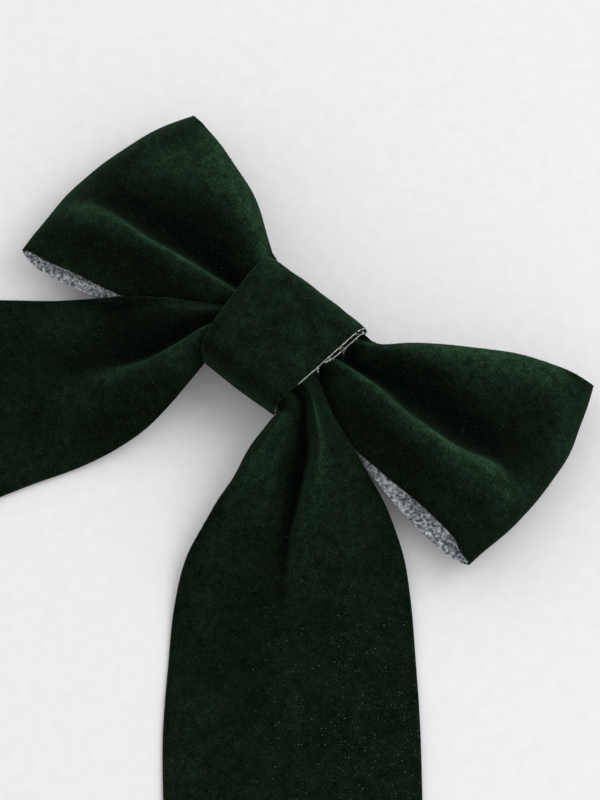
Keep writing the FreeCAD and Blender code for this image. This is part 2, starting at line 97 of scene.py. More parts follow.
# Painted light and shade of the velvet, stored on the cloth as colour, which doesn't follow the lamps:
# hollows are painted darker and ridges lighter, and cloth is painted lighter the more it faces one fixed
# side. How often the cloth is smoothed to compare a point's height with its surroundings, the height that
# makes a full ridge, and the way that cloth has to face to be painted palest.
PAINTED_SHADE_ROUNDS = 34
PAINTED_SHADE_RELIEF = 1.1
PAINTED_LIGHT_WAY = np.array([0.12, 0.80, 0.59])

# Fibre tips of the pile: length, how steeply they stand, width, how deep they are rooted, how many on a
# square millimetre, and how many of them line the cloth's edges.
PILE_LENGTH = (0.18, 0.46)
PILE_RISE = (0.25, 0.9)
PILE_WIDTH = 0.075
PILE_ROOT = 0.05
PILE_PER_MM2 = 1.7
PILE_EDGE_SHARE = 0.12


# ---------------------------------------------------------------- surfaces through cuts

def catmull(p, k, t):
    """One span of a Catmull-Rom spline, with knots k, at the values t."""
    a1 = (k[1] - t) / (k[1] - k[0]) * p[0] + (t - k[0]) / (k[1] - k[0]) * p[1]
    a2 = (k[2] - t) / (k[2] - k[1]) * p[1] + (t - k[1]) / (k[2] - k[1]) * p[2]
    a3 = (k[3] - t) / (k[3] - k[2]) * p[2] + (t - k[2]) / (k[3] - k[2]) * p[3]
    b1 = (k[2] - t) / (k[2] - k[0]) * a1 + (t - k[0]) / (k[2] - k[0]) * a2
    b2 = (k[3] - t) / (k[3] - k[1]) * a2 + (t - k[1]) / (k[3] - k[1]) * a3
    return (k[2] - t) / (k[2] - k[1]) * b1 + (t - k[1]) / (k[2] - k[1]) * b2


def refine(p, step, closed=False):
    """Points p smoothed along their first axis, with a row about every step millimetres."""
    if closed:
        q = np.concatenate([p[-1:], p, p[:2]])
    else:
        q = np.concatenate([2 * p[:1] - p[1:2], p, 2 * p[-1:] - p[-2:-1]])
    gaps = np.linalg.norm(np.diff(q, axis=0), axis=2).mean(axis=1)
    knots = np.concatenate([[0], np.cumsum(np.sqrt(gaps))])
    rows = []
    for i in range(1, len(q) - 2):
        t = np.linspace(knots[i], knots[i + 1], max(2, round(gaps[i] / step)), endpoint=False)
        rows.append(catmull(q[i - 1:i + 3], knots[i - 1:i + 3], t[:, None, None]))
    if not closed:
        rows.append(q[-2:-1])
    return np.concatenate(rows)


def surface(cuts, step=GRID_STEP, closed=False):
    """A fine grid of points through a few cuts, each cut a list of (x, y, z) across the ribbon."""
    grid = refine(np.asarray(cuts, float), step, closed)
    return refine(grid.transpose(1, 0, 2), step).transpose(1, 0, 2)


def relax(grid, times, closed=False):
    """The grid with its small kinks smoothed out; its edges are smoothed only along themselves."""
    g = grid.copy()
    for _ in range(times):
        if closed:
            g = 0.5 * g + 0.25 * (np.roll(g, 1, 0) + np.roll(g, -1, 0))
        else:
            g[1:-1] = 0.5 * g[1:-1] + 0.25 * (g[:-2] + g[2:])
        g[:, 1:-1] = 0.5 * g[:, 1:-1] + 0.25 * (g[:, :-2] + g[:, 2:])
    return g


def blurred(values):
    """Values on the grid, averaged once with their neighbours."""
    soft = values.copy()
    soft[1:-1] = 0.5 * soft[1:-1] + 0.25 * (soft[:-2] + soft[2:])
    soft[:, 1:-1] = 0.5 * soft[:, 1:-1] + 0.25 * (soft[:, :-2] + soft[:, 2:])
    return soft


def slopes(grid, closed):
    """Unit vectors along the ribbon, across it and out of its face, at every grid point."""
    if closed:
        along = np.roll(grid, -1, 0) - np.roll(grid, 1, 0)
    else:
        along = np.gradient(grid, axis=0)
    across = np.gradient(grid, axis=1)
    out = np.cross(along, across)
    return unit(along), unit(across), unit(out)


def unit(v):
    """Vectors scaled to length one."""
    return v / np.maximum(np.linalg.norm(v, axis=-1, keepdims=True), 1e-9)


def ripple(grid, height, length, seed):
    """Heights of a soft irregular ripple over a grid, in millimetres."""
    rng = np.random.default_rng(seed)
    total = np.zeros(grid.shape[:2])
    for _ in range(RIPPLE_WAVES):
        way = unit(rng.normal(size=3))
        wave = length * rng.uniform(*RIPPLE_SPREAD)
        total += np.sin(2 * math.pi * (grid @ way) / wave + rng.uniform(0, 6.28))
    return total * height / RIPPLE_WAVES ** 0.5


def fade(values, none, full):
    """Shares that run from 0 at none to 1 at full."""
    return np.clip((values - none) / (full - none), 0, 1)


def settle(grid, below, room, away):
    """Lifts the grid along away wherever it comes nearer than room to the mesh below it."""
    tree = BVHTree.FromObject(below, bpy.context.evaluated_depsgraph_get())
    lift = np.zeros(grid.shape[:2])
    for i in range(grid.shape[0]):
        for j in range(grid.shape[1]):
            x, y, z = grid[i, j]
            hit = tree.ray_cast(Vector((x, y, SETTLE_FROM_Z)) * MM, Vector((0, 0, -1)))
            if hit[0] is not None:
                lift[i, j] = max(0.0, hit[0].z / MM + room - z)
    for _ in range(SETTLE_ROUNDS):
        lift = np.maximum(lift, blurred(lift))
    for _ in range(SETTLE_ROUNDS // 4):
        lift = blurred(lift)
    return grid + lift[..., None] * away


def inset(grid, out_z):
    """The grid with its long edges drawn in where it faces up, and let out a little where it faces down."""
    g = grid.copy()
    reach = BACKING_INSET * np.clip(out_z.mean(axis=1) * 3, -0.5, 1)
    for i, row in enumerate(grid):
        length = np.concatenate([[0], np.cumsum(np.linalg.norm(np.diff(row, axis=0), axis=1))])
        at = reach[i] + length * (length[-1] - 2 * reach[i]) / length[-1]
        for k in range(3):
            g[i, :, k] = np.interp(at, length, row[:, k])
        if reach[i] < 0:
            g[i, 0] += unit(row[0] - row[1]) * -reach[i]
            g[i, -1] += unit(row[-1] - row[-2]) * -reach[i]
    return g


# ---------------------------------------------------------------- cloth layers

def mesh_piece(name, verts, faces, material):
    """A new piece from its points, in metres, and its faces."""
    mesh = bpy.data.meshes.new(name)
    mesh.from_pydata(verts, [], faces)
    mesh.materials.append(material)
    piece = bpy.data.objects.new(name, mesh)
    bpy.context.scene.collection.objects.link(piece)
    return piece


def point_values(mesh, name, values):
    """Stores a vector at every point of a mesh, for its material to read."""
    mesh.attributes.new(name, "FLOAT_VECTOR", "POINT")
    mesh.attributes[name].data.foreach_set("vector", values.reshape(-1).astype(np.float32))


def layer(name, grid, depths, material, closed=False, way=1, glint=None, pale=0.0):
    """A closed thin mesh of one layer of the cloth, between two depths under the grid."""
    along, across, out = slopes(grid, closed)
    out = out * way
    top, low = depths
    upper, lower, middle = grid - out * top, grid - out * low, grid - out * (top + low) / 2
    left = middle[:, :1] - across[:, :1] * EDGE_BULGE
    right = middle[:, -1:] + across[:, -1:] * EDGE_BULGE
    ring = np.concatenate([left, upper, right, lower[:, ::-1]], axis=1)
    if not closed:
        ring = np.concatenate([end_ring(middle, left, right, along, 0, -EDGE_BULGE), ring,
                               end_ring(middle, left, right, along, -1, EDGE_BULGE)])
    size = ring.shape[1]
    ids = np.arange(ring.shape[0] * size).reshape(-1, size)
    if closed:
        ids = np.concatenate([ids, ids[:1]])
    a, b = ids[:-1], ids[1:]
    faces = np.stack([a, b, np.roll(b, -1, 1), np.roll(a, -1, 1)], axis=-1).reshape(-1, 4)
    if way < 0:
        faces = faces[:, ::-1]
    piece = mesh_piece(name, (ring.reshape(-1, 3) * MM).tolist(), faces.tolist(), material)
    point_values(piece.data, "cloth", ring_of(flat_place(grid), closed))
    # The cloth's painted light and shade is stored at its points: hollows darker, ridges and the lit side
    # lighter, and painted glints.
    point_values(piece.data, "painted_light", ring_of(painted_light(grid, out, glint, pale), closed))
    weld(piece.data)
    return piece


def end_ring(middle, left, right, along, row, reach):
    """The thin edge that closes a layer at one end."""
    line = np.concatenate([left[row], middle[row], right[row], middle[row][::-1]])
    push = along[row]
    moves = np.concatenate([push[:1], push, push[-1:], push[::-1]]) * reach
    return (line + moves)[None]


def flat_place(grid):
    """Where each grid point lies on the flat ribbon: millimetres along it and across it."""
    rows, cols = grid.shape[:2]
    step_along = np.linalg.norm(np.diff(grid, axis=0), axis=2).mean(axis=1)
    step_across = np.linalg.norm(np.diff(grid, axis=1), axis=2)
    u = np.concatenate([[0], np.cumsum(step_along)])
    v = np.concatenate([np.zeros((rows, 1)), np.cumsum(step_across, axis=1)], axis=1)
    v = v - v.mean(axis=1, keepdims=True)
    return np.stack([np.repeat(u[:, None], cols, 1), v, np.zeros((rows, cols))], axis=2)


def ring_of(values, closed):
    """Values on the grid, laid out in the order of a layer's mesh points."""
    ring = np.concatenate([values[:, :1], values, values[:, -1:], values[:, ::-1]], axis=1)
    if not closed:
        ring = np.concatenate([ring[:1], ring, ring[-1:]])
    return ring


def painted_light(grid, out, glint, pale):
    """Painted light at each grid point: (painted shade and highlight from its height over its surroundings,
    painted light from the side it faces, painted glint).
    """
    around = grid.copy()
    for _ in range(PAINTED_SHADE_ROUNDS):
        around[:, 1:-1] = 0.5 * around[:, 1:-1] + 0.25 * (around[:, :-2] + around[:, 2:])
    # Painted shade and highlight: hollows painted darker, ridges lighter; pale shifts this painted shade for
    # a whole piece.
    rise = np.clip(0.5 + 0.5 * ((grid - around) * out).sum(axis=2) / PAINTED_SHADE_RELIEF + pale, 0, 1)
    # Painted light: cloth that faces one fixed side is painted lighter, and cloth that faces away is painted
    # darker.
    lit_side = np.clip(0.5 + 0.5 * (out @ PAINTED_LIGHT_WAY), 0, 1)
    # Painted glints: pale specks where glint is given.
    spots = np.zeros(rise.shape) if glint is None else glint
    return np.stack([rise, lit_side, spots], axis=2)


def weld(mesh):
    """Joins points that coincide, drops empty faces and smooths the shading."""
    bm = bmesh.new()
    bm.from_mesh(mesh)
    bmesh.ops.remove_doubles(bm, verts=bm.verts, dist=1e-7)
    bmesh.ops.dissolve_degenerate(bm, edges=bm.edges, dist=1e-8)
    bmesh.ops.recalc_face_normals(bm, faces=bm.faces)
    bm.to_mesh(mesh)
    bm.free()
    smooth(mesh)


def smooth(mesh):
    """Smooths a mesh's shading."""
    for face in mesh.polygons:
        face.use_smooth = True


def dress(name, grid, cad, slot, closed=False, way=1, glint=None, pale=0.0):
    """Builds one cloth layer, puts it on the bow and hides the CAD part that it stands for."""
    if slot == "interfacing":
        grid = inset(grid, slopes(grid, closed)[2][..., 2] * way)
    piece = layer(name, grid, LAYER_DEPTHS[slot], CLOTH_LOOKS[slot], closed, way, glint, pale)
    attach(piece, "bow")
    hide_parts(cad)
    return piece


def cell_sides(grid):
    """How long each cell of a grid is along the ribbon, and across it."""
    along = np.linalg.norm(np.diff(grid, axis=0)[:, :-1], axis=2)
    across = np.linalg.norm(np.diff(grid, axis=1)[:-1], axis=2)
    return along, across


def pile(name, grid, seed, closed=False, way=1):
    """Short fibre tips that stand off the velvet, and blur its outline. A share of them line its edges."""
    rng = np.random.default_rng(seed)
    out = slopes(grid, closed)[2] * way
    along, across = cell_sides(grid)
    areas = along * across
    last = grid.shape[1] - 2
    count = int(areas.sum() * PILE_PER_MM2)
    cell = rng.choice(areas.size, size=count, p=(areas / areas.sum()).ravel())
    i, j = np.divmod(cell, last + 1)
    u, v = rng.random((2, count, 1))
    at_edge = rng.random(count) < PILE_EDGE_SHARE
    j = np.where(at_edge, rng.choice((0, last), count), j)
    v = np.where(at_edge[:, None], (j > 0)[:, None] * 1.0, v)
    near = grid[i, j] * (1 - u) + grid[i + 1, j] * u
    far = grid[i, j + 1] * (1 - u) + grid[i + 1, j + 1] * u
    root = near * (1 - v) + far * v
    up = out[i, j]
    lay = unit(np.cross(up, rng.normal(size=(count, 3))))
    rise = up * rng.uniform(*PILE_RISE, (count, 1))
    tip = root + (rise + lay) * rng.uniform(*PILE_LENGTH, (count, 1))
    side = unit(np.cross(up, lay)) * PILE_WIDTH / 2
    base = root - up * PILE_ROOT
    verts = np.stack([base - side, base + side, base - up * PILE_WIDTH, tip], axis=1).reshape(-1, 3)
    first = np.arange(count)[:, None, None] * 4
    faces = (first + np.array([[0, 1, 3], [1, 2, 3], [2, 0, 3], [0, 2, 1]])).reshape(-1, 3)
    piece = mesh_piece(name, (verts * MM).tolist(), faces.tolist(), TIPS)
    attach(piece, "bow")


# ---------------------------------------------------------------- loops

LOOP_LINES = 9

# Each front cut: its x at the lower edge and at the upper edge, then (y, z) from lower edge to upper edge.
LEFT_FRONT = [
    (-20, -20, [(-5, 7.6), (-2.8, 10.6), (2.3, 15.8), (3.8, 12.2), (6.3, 8.4), (10.8, 11.8),
                (16, 14.6), (19, 14), (20.6, 12)]),
    (-32, -31, [(-11.5, 7), (-5.5, 11.3), (0.8, 17), (2.9, 12), (6.2, 8.3), (14.4, 12), (22, 15.9),
                (26.8, 14.4), (28.6, 11.8)]),
    (-47, -42, [(-16.9, 8.8), (-8, 12.6), (-0.7, 16.9), (1.8, 12.2), (6, 9), (18, 12.6), (27, 15.5),
                (32, 13.6), (33.6, 11.2)]),
    (-60, -51, [(-19.4, 9), (-10, 11.8), (-1.8, 15.5), (1.4, 11.6), (7, 9.8), (18.6, 12.6),
                (29.5, 13.4), (35.3, 12.2), (36.8, 10.3)]),
    (-69, -59, [(-21.2, 7.6), (-12.4, 10.2), (-4, 12.6), (1.2, 10.8), (8, 10.2), (17, 11), (28, 10.9),
                (37, 10.4), (39, 9.1)]),
]
RIGHT_FRONT = [
    (19, 22, [(-4.5, 7.6), (-2.4, 10.6), (4.3, 15.8), (5.6, 12), (7.8, 8.6), (10, 11.8), (13.4, 14.2),
              (15.4, 13.6), (16.4, 12)]),
    (30, 29, [(-9.5, 7), (-3.8, 11.6), (4.2, 17.2), (6.2, 12), (8.8, 8.6), (14, 11.6), (18.6, 15.4),
              (21.4, 14.4), (22.8, 12.2)]),
    (45, 41, [(-11.8, 8.8), (-4.6, 12.6), (3.2, 17.3), (5.4, 12.4), (9.3, 9), (17.5, 12), (25.5, 16.2),
              (29.6, 14.2), (31, 11.8)]),
    (61, 55, [(-12.6, 9), (-4.8, 12.4), (4.4, 16), (7.4, 11.8), (13, 9.8), (23.2, 12.2), (34, 14.6),
              (38, 13), (39.4, 10.8)]),
    (73, 66, [(-14, 8.2), (-5.6, 11), (6, 13.6), (10.4, 11.2), (17, 10.1), (27, 10.8), (37.5, 11.8),
              (42.6, 10.8), (44.2, 9.4)]),
]

# Outermost line of each fold: (x, y) from its lower corner to its upper corner.
LEFT_FOLD = [(-76.5, -22), (-77.1, -15), (-77.6, -7), (-77.4, 1), (-76.6, 10), (-74.6, 19),
             (-72, 27.5), (-69, 35), (-65.6, 41)]
RIGHT_FOLD = [(81.3, -16.4), (82.8, -7.5), (83.9, 1.5), (84.2, 10), (83.9, 18.5), (82.6, 26.5),
              (80.4, 34), (78, 41), (75.4, 47)]

# The fold's height in front and behind, and how the front rounds into it: how far before, and how high.
FOLD_Z = 4.6
FOLD_BACK_Z = -0.4
NEAR_FOLD_X = 4.2
NEAR_FOLD_Z = 9.0
# How close to its full width the front is there, at the lower corner, and how much less at the upper one.
NEAR_FOLD_WIDTH = 0.985
NEAR_FOLD_NARROWING = 0.022
# How far the back layer's lower edge hangs, and the pleats that take the layer in.
BACK_EDGE_DROOP = 2.0
BACK_PLEATS = 6
BACK_PLEAT_HEIGHT = 2.6
# Where the pleats are: around this x on either side, fading beside it, and only on the ring's low side.
PLEATED_X = 32
PLEATED_SPAN = 1.6
PLEATED_FADE = 15
PLEATED_Z = (7.0, 4.0)

# The gathered ribbon inside the knot: half its length, its y, and its pleats' heights in front and behind.
KNOT_HALF = 11
KNOT_GATHER = (-0.6, 14.8)
FRONT_PLEATS = (11.6, 16.4)
BACK_PLEATS_Z = (7.1, 12.4)

# The back layer starts this far inside the fold, with uneven heights up to this.
BACK_FOLD_X = 5
BACK_FOLD_WAVE = 0.5
# Where it reaches the knot: its lower and upper edge, its x and its height.
BACK_KNOT_EDGES = (-3.0, 17.0)
BACK_KNOT_X = 20
BACK_KNOT_Z = 5.6
# How late on its way to the knot it narrows, and how late it rises: 1 is evenly.
BACK_NARROWS = 1.3
BACK_RISES = 2.2


def knot_cut(x, heights):
    """A cut through the gathered loop ribbon inside the knot, in tight pleats between two heights."""
    low, high = heights
    y = np.linspace(*KNOT_GATHER, LOOP_LINES)
    z = np.where(np.arange(LOOP_LINES) % 2 == 0, high, low)
    return [(x, y[i], z[i]) for i in range(LOOP_LINES)]


def front_cut(cut):
    """A front cut as points. Its x moves from the lower edge's to the upper edge's."""
    x_low, x_high, across = cut
    low, high = across[0][0], across[-1][0]
    points = []
    for y, z in across:
        share = (y - low) / (high - low)
        points.append((x_low + (x_high - x_low) * share ** 2.5, y, z))
    return points


def near_fold_cut(fold, last, side):
    """The cut where the front starts to turn over into the fold."""
    points = []
    for i, ((x, y), (_, _, z)) in enumerate(zip(fold, front_cut(last))):
        draw_in = NEAR_FOLD_WIDTH - NEAR_FOLD_NARROWING * i / (LOOP_LINES - 1)
        points.append((x - side * NEAR_FOLD_X, y * draw_in, 0.45 * z + 0.55 * NEAR_FOLD_Z))
    return points


def back_cut(fold, side, share, seed):
    """A cut across the back layer, share of the way from the fold to the knot."""
    rng = random.Random(seed)
    knot_low, knot_high = BACK_KNOT_EDGES
    ease = share ** BACK_NARROWS
    z_mid = FOLD_BACK_Z + (BACK_KNOT_Z - FOLD_BACK_Z) * share ** BACK_RISES
    points = []
    for i, (x, y) in enumerate(fold):
        t = i / (LOOP_LINES - 1)
        y_knot = knot_low + (knot_high - knot_low) * t
        wave = rng.uniform(0, BACK_FOLD_WAVE) * (1 - share)
        px = (x - side * BACK_FOLD_X) * (1 - share) + side * BACK_KNOT_X * share
        low_edge = BACK_EDGE_DROOP * math.sin(math.pi * share) * (1 - t) ** 3
        points.append((px, y * (1 - ease) + y_knot * ease - low_edge, z_mid + wave))
    return points


def loop_grid():
    """The outer surface of the ribbon ring that makes both loops."""
    cuts = [[(x, y, FOLD_Z) for x, y in LEFT_FOLD]]
    cuts += [near_fold_cut(LEFT_FOLD, LEFT_FRONT[-1], -1)]
    cuts += [front_cut(c) for c in reversed(LEFT_FRONT)]
    cuts += [knot_cut(-KNOT_HALF, FRONT_PLEATS), knot_cut(KNOT_HALF, FRONT_PLEATS)]
    cuts += [front_cut(c) for c in RIGHT_FRONT]
    cuts += [near_fold_cut(RIGHT_FOLD, RIGHT_FRONT[-1], 1)]
    cuts += [[(x, y, FOLD_Z) for x, y in RIGHT_FOLD]]
    cuts += [back_cut(RIGHT_FOLD, 1, share, 3) for share in (0.0, 0.3, 0.6, 1.0)]
    cuts += [knot_cut(KNOT_HALF, BACK_PLEATS_Z), knot_cut(-KNOT_HALF, BACK_PLEATS_Z)]
    cuts += [back_cut(LEFT_FOLD, -1, share, 5) for share in (1.0, 0.6, 0.3, 0.0)]
    grid = relax(surface(cuts, closed=True), 3, closed=True)
    out = slopes(grid, True)[2]
    creases = ripple(grid, height=0.2, length=16, seed=11)
    return grid + out * (creases + back_pleats(grid))[..., None]


def back_pleats(grid):
    """Depths of the even pleats that take the back layer in beside the knot."""
    across = np.linspace(0, 1, grid.shape[1])
    off_middle = np.abs(np.abs(grid[..., 0]) - PLEATED_X)
    near_knot = np.clip(PLEATED_SPAN - off_middle / PLEATED_FADE, 0, 1)
    back = fade(grid[..., 2], *PLEATED_Z) * near_knot
    return back * BACK_PLEAT_HEIGHT * (np.cos(2 * math.pi * BACK_PLEATS * across) - 1) / 2


# ---------------------------------------------------------------- tails

# A tail: its root (x, y), its direction in degrees, the side its lower edge is on, the seed of its waves
# on the table, and its cuts from the knot outwards.
# knot: inside the knot, (x, [(y, z), ...]);
# mouth: where the tail leaves the knot, (x, y, z) of each point;
# cuts: hanging, (distance along the tail, [(offset across it, z), ...]);
# edges: on the table, (distance along the tail, offset of its upper edge, offset of its lower edge);
# end: how far its upper and its lower edge reach.
LEFT_TAIL = {
    "root": (-15, -9), "angle": 225, "turn": 1, "waves": 31,
    "knot": [
        (-3, [(-2.7, 12.4), (-4.6, 15.6), (-6.9, 12.6), (-9.2, 16.2), (-12.2, 14), (-14.8, 10.6)]),
        (-11, [(-2.7, 12.6), (-4.6, 15.4), (-6.9, 12.4), (-9.4, 16), (-12.6, 14), (-14.9, 10.4)]),
    ],
    "mouth": [(-18.2, -2, 13.2), (-17.5, -3.9, 15), (-17, -6.5, 12.3), (-16.5, -9.6, 15.5),
              (-14.7, -14, 13.5), (-12.9, -16.4, 9)],
    "cuts": [
        (6, [(-10.4, 11.4), (-7, 12.8), (-2.6, 8.6), (0.7, 14.8), (6.2, 12), (8.6, 7.4)]),
        (12, [(-12.4, 10), (-8.1, 11), (-0.9, 5.6), (3.2, 12.4), (11.2, 8.6), (14, 4.3)]),
        (20, [(-14.8, 7.3), (-9.5, 8), (1, 2.4), (5.6, 8.2), (15.8, 4.4), (20.4, 1.3)]),
        (30, [(-17.3, 2.8), (-10.8, 4.2), (1.2, 0.8), (7, 3.6), (19, -0.2), (25.3, -2.5)]),
        (42, [(-20, -1.6), (-12.4, -0.2), (-0.5, -1.8), (8.5, -1.4), (21.6, -3.9), (29.3, -5)]),
        (55, [(-22.7, -4.9), (-14.1, -4), (-1, -4.5), (10, -4.4), (25, -5.2), (32.6, -5.7)]),
    ],
    "edges": [(70, -25, 37), (86, -26.2, 41), (106, -26.8, 43.4)],
    "end": (190, 166),
}
RIGHT_TAIL = {
    "root": (15, -9), "angle": -50, "turn": -1, "waves": 47,
    "knot": [
        (3, [(-2.7, 12.4), (-4.8, 15.4), (-7, 16), (-8.4, 11.6), (-10.4, 13.2), (-12.6, 14),
             (-14.8, 10.6)]),
        (11, [(-2.7, 12.6), (-4.9, 15.2), (-7.4, 15.8), (-8.8, 11.4), (-11, 13.2), (-13.2, 13.6),
              (-14.9, 10.4)]),
    ],
    "mouth": [(15.3, -2.7, 13), (15.9, -5.3, 15), (16.3, -7.9, 15.5), (15.8, -9.3, 11),
              (15.3, -11.9, 13), (14.1, -14.2, 13), (12.6, -16.4, 9.5)],
    "cuts": [
        (6, [(-9.3, 10.4), (-6, 13.2), (-3.1, 14.8), (-0.9, 7.8), (3, 11.4), (5.8, 12.4), (8.5, 9.2)]),
        (12, [(-12.7, 8.4), (-8, 11.8), (-4, 13.4), (-1, 5.2), (5, 10.2), (9.7, 11.5), (13.3, 8)]),
        (20, [(-17.7, 4.9), (-10, 9.1), (-3.2, 10.8), (0.2, 2.4), (8, 7.6), (14.7, 9.1), (18.3, 5.6)]),
        (30, [(-23.3, 0.7), (-12.4, 4.8), (-0.6, 6), (3, 0.4), (11.5, 3.7), (20, 4.7), (25.2, 2)]),
        (42, [(-27.4, -2.8), (-14, 0), (1.8, 0.6), (6, -2), (15.4, -0.9), (25.8, -0.4), (32.4, -2.3)]),
        (55, [(-29.2, -5.2), (-15, -3.8), (2.5, -4), (8.4, -4.5), (19, -4.2), (28.3, -3.8),
              (35.8, -5.2)]),
    ],
    "edges": [(72, -30.1, 37.6), (92, -30.8, 39.2)],
    "end": (190, 166),
}

# A tail's last cuts, as shares of the way from its last edge entry to its slanted end.
TAIL_END_CUTS = (0.3, 0.65, 1.0)
# A tail hangs free of the table from this height above it.
HANG_HEIGHT = 6.0
# Where glints of the woven ground are painted as pale specks on the right tail: from none to all, along the
# tail and across it.
GLINT_ALONG = (42, 84)
GLINT_ACROSS = (18, -16)


def tail_frame(tail):
    """A tail's root, its direction and the direction across it, from its upper to its lower edge."""
    angle = math.radians(tail["angle"])
    along = np.array([math.cos(angle), math.sin(angle), 0.0])
    across = np.array([-along[1], along[0], 0.0]) * tail["turn"]
    return np.array([*tail["root"], 0.0]), along, across


def tail_cuts(tail):
    """A tail's cuts, out of the knot, down and along the table to its slanted end."""
    root, along, across = tail_frame(tail)

    def cut(distances, offsets, heights):
        """A cut from how far each point is along the tail, across it and up."""
        return [root + along * s + across * w + [0, 0, z] for s, w, z in zip(distances, offsets, heights)]

    lines = len(tail["mouth"])
    shares = np.linspace(0, 1, lines)
    table = [FLAT_Z] * lines
    cuts = [[(x, y, z) for y, z in row] for x, row in tail["knot"]]
    cuts.append(tail["mouth"])
    for s, row in tail["cuts"]:
        cuts.append(cut([s] * lines, *zip(*row)))
    for s, upper, lower in tail["edges"]:
        offsets = upper + (lower - upper) * shares
        cuts.append(cut([s] * lines, offsets, table))
    start = tail["edges"][-1][0]
    ends = tail["end"][0] + (tail["end"][1] - tail["end"][0]) * shares
    for part in TAIL_END_CUTS:
        cuts.append(cut(start + part * (ends - start), offsets, table))
    return cuts


def tail_grid(tail):
    """The outer surface of one tail, gently waved where it lies and finely rippled where it hangs."""
    grid = relax(surface(tail_cuts(tail)), 2)
    hang = np.clip((grid[..., 2] - FLAT_Z) / HANG_HEIGHT, 0, 1)
    grid[..., 2] += np.abs(ripple(grid, height=0.25, length=34, seed=tail["waves"])) * (1 - hang)
    out = slopes(grid, False)[2] * tail["turn"]
    grid = grid + out * (ripple(grid, height=0.16, length=15, seed=5) * hang)[..., None]
    grid[..., 2] = np.maximum(grid[..., 2], FLAT_Z)
    return grid


def tail_glint(tail, grid):
    """Where glints of the woven ground through the pile are painted as pale specks: on one side of the tail's
    flat length.
    """
    root, along, across = tail_frame(tail)
    return fade((grid - root) @ along, *GLINT_ALONG) * fade((grid - root) @ across, *GLINT_ACROSS)


# ---------------------------------------------------------------- knot

# Around the knot, seen from its left end: (y, z, x of the left edge, x of the right edge).
WRAP_CUTS = [
    (3.5, 19.5, -17.0, 15.6), (-3.5, 19.5, -16.4, 14.8), (-9.5, 19.3, -15.8, 13.9),
    (-13.6, 18.8, -15.2, 13.1), (-16.3, 16.7, -14.4, 12.5), (-17.4, 13, -13.5, 12.1),
    (-17.5, 9.2, -12.8, 11.6), (-17.1, 6.9, -12.6, 11.5), (-14.6, 5.4, -12.6, 11.6),
    (-9.8, 4.2, -12.8, 12.0), (-5, 3.3, -13.2, 12.5), (0, 3.1, -13.6, 13.0),
    (5, 3.3, -14.2, 13.6), (9.8, 4.2, -14.8, 14.2), (14.6, 5.4, -15.4, 15.0),
    (17.1, 6.9, -15.9, 15.8), (17.5, 9.2, -16.3, 16.6), (17.4, 13, -16.7, 17.3),
    (16.3, 16.7, -17.2, 17.1), (13.6, 18.8, -17.4, 16.7), (9.5, 19.3, -17.4, 16.3),
]
WRAP_LINES = 7
WRAP_STEP = 0.9
WRAP_MIDDLE = (0.0, 11.5)
# The wrap is crowned above this height, and rippled more and more between these two.
WRAP_CROWN = 0.55
CROWNED_Z = 8
RIPPLED_Z = (8, 14)
# The rows of the wrap's edge that are hemmed and frayed are above this height.
EDGE_ABOVE_Z = 12

# The turned-in hem under the wrap's right edge: between which y, how far out and in, and its depths.
HEM_Y = (0.0, 17.3)
HEM_REACH = 0.95
HEM_UNDER = 2.5
HEM_LINES = 5
HEM_DEPTHS = (1.25, 1.75)

# The frayed edge: between which y, its fibres' radius and length, how many a row, and how many stand off.
FRAY_Y = (-9.5, 17.6)
FRAY_RADIUS = 0.05
FRAY_LENGTH = (0.6, 1.3)
FRAY_PER_ROW = 4
LOOSE_SHARE = 0.06
# How far its fibres turn away from the edge, and how much they bend.
LOOSE_SPREAD = (0.5, 1.0)
CLOSE_SPREAD = (-0.08, 0.16)
FRAY_BEND = 0.18
# Where its fibres start: past the raw edge, and under the velvet's face.
FRAY_START = 0.3
FRAY_DEPTH = 0.15


def wrap_grid():
    """The outer surface of the strip that goes round the knot and the barrette's base."""
    cuts = []
    for y, z, left, right in WRAP_CUTS:
        away = unit(np.array([0.0, y - WRAP_MIDDLE[0], z - WRAP_MIDDLE[1]]))
        row = []
        for t in np.linspace(0, 1, WRAP_LINES):
            crown = WRAP_CROWN * math.sin(math.pi * t) if z > CROWNED_Z else 0.0
            row.append(np.array([left + (right - left) * t, y, z]) + away * crown)
        cuts.append(row)
    grid = relax(surface(cuts, WRAP_STEP, closed=True), 4, closed=True)
    out = slopes(grid, True)[2]
    upper_side = fade(grid[..., 2], *RIPPLED_Z)
    return grid + out * (np.abs(ripple(grid, height=0.28, length=13, seed=23)) * upper_side)[..., None]


def tube(points, radius, sides=4):
    """Vertices and faces of a thin tube through points, which tapers to a quarter of its radius."""
    verts, faces = [], []
    last = len(points) - 1
    for i, p in enumerate(points):
        way = (points[min(i + 1, last)] - points[max(i - 1, 0)]).normalized()
        side = way.orthogonal().normalized()
        r = radius * (1.0 - 0.75 * i / last)
        for k in range(sides):
            turn = Matrix.Rotation(2 * math.pi * k / sides, 3, way)
            verts.append(p + turn @ side * r)
    for i in range(last):
        for k in range(sides):
            a, b = i * sides + k, i * sides + (k + 1) % sides
            faces.append((a, b, b + sides, a + sides))
    faces.append(tuple(range(sides))[::-1])
    faces.append(tuple(range(last * sides, len(points) * sides)))
    return verts, faces


def edge_rows(grid, y_low, y_high):
    """Rows on the raised face of the wrap between two y, from the top edge of the knot downwards."""
    edge = grid[:, -1]
    rows = [i for i in range(len(edge)) if edge[i, 2] > EDGE_ABOVE_Z and y_low < edge[i, 1] < y_high]
    return sorted(rows, key=lambda i: -edge[i, 1])


def hem_reach(y):
    """How far the turned-in hem stands out past the wrap's right edge at y."""
    return HEM_REACH * min(1.0, (y - HEM_Y[0]) / 4, (HEM_Y[1] - y) / 2)


